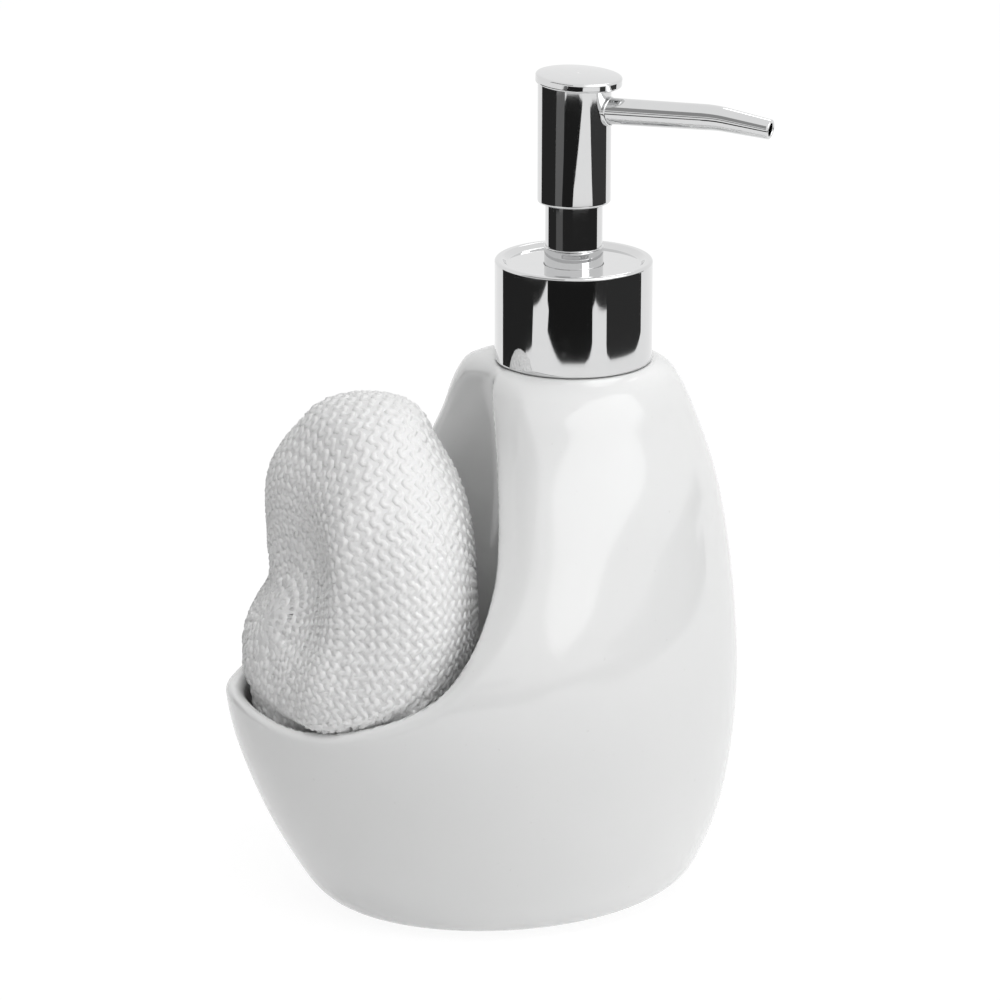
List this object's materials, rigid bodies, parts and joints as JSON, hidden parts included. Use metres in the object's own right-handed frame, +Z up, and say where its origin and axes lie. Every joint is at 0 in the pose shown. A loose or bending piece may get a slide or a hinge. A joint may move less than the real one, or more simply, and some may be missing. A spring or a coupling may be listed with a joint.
{
  "type": "soap pump caddy",
  "caption": "Glazed ceramic soap dispenser with an open side pocket holding a knitted scrubber, and a chromed lotion pump with a swivelling spout.",
  "frame": {"origin": "on the base plane, straight under the pump's axis", "axes": "+Z up along the pump's axis, +X away from the pocket, -Y the front"},
  "size_m": [0.1139, 0.0934, 0.1825],
  "materials": {
    "glaze": "glossy white glaze",
    "chrome_plate": "bright chrome plating, polished",
    "white_plastic": "moulded natural white plastic",
    "clear_tube": "milky translucent extruded tube",
    "grey_rubber": "soft moulded rubber",
    "spring_steel": "drawn stainless wire",
    "knitted_mesh": "white knitted nylon mesh over a soft filling"
  },
  "bodies": {
    "caddy": {"ceramic_body": "glaze", "neck_insert": "white_plastic"},
    "pump": {"neck_gasket": "grey_rubber", "pump_housing": "white_plastic", "guide_tube": "chrome_plate", "stem_bushing": "white_plastic", "ball_retainer": "white_plastic", "dip_tube": "clear_tube", "return_spring": "spring_steel"},
    "closure": {"inner_cap": "white_plastic", "collar_shell": "chrome_plate"},
    "piston": {"piston_seal": "grey_rubber"},
    "head": {"stem": "white_plastic", "piston_plug": "white_plastic", "head_core": "white_plastic", "head_barrel": "chrome_plate", "head_disc": "chrome_plate", "spout": "chrome_plate", "spout_ferrule": "chrome_plate"},
    "ball": {"inlet_ball": "spring_steel"},
    "scrubber": {"scrubber_pad": "knitted_mesh", "scrubber_tie": "knitted_mesh"}
  },
  "joints": [
    {"name": "cap_turn", "type": "hinge", "parent": "pump", "child": "closure", "pos_m": [0, 0, 0.13], "axis": [0, 0, 1], "range_deg": [0, 450]},
    {"name": "pump_lift", "type": "slide", "parent": "caddy", "child": "pump", "axis": [0, 0, 1], "range_m": [0, 0.00529]},
    {"name": "head_press", "type": "slide", "parent": "pump", "child": "piston", "axis": [0, 0, -1], "range_m": [0, 0.011], "stiffness_N_per_m": 450, "springref_m": -0.009, "deforming": ["return_spring"]},
    {"name": "head_swivel", "type": "hinge", "parent": "piston", "child": "head", "pos_m": [0, 0, 0.16], "axis": [0, 0, 1], "continuous": true},
    {"name": "ball_lift", "type": "slide", "parent": "pump", "child": "ball", "axis": [0, 0, 1], "range_m": [0, 0.0016]},
    {"name": "scrubber_lift", "type": "slide", "parent": "caddy", "child": "scrubber", "axis": [0, 0, 1], "range_m": [0, 0.11]}
  ],
  "couplings": [
    {"joint": "cap_turn", "follows": "pump_lift", "rad_per_m": 1485.4}
  ]
}
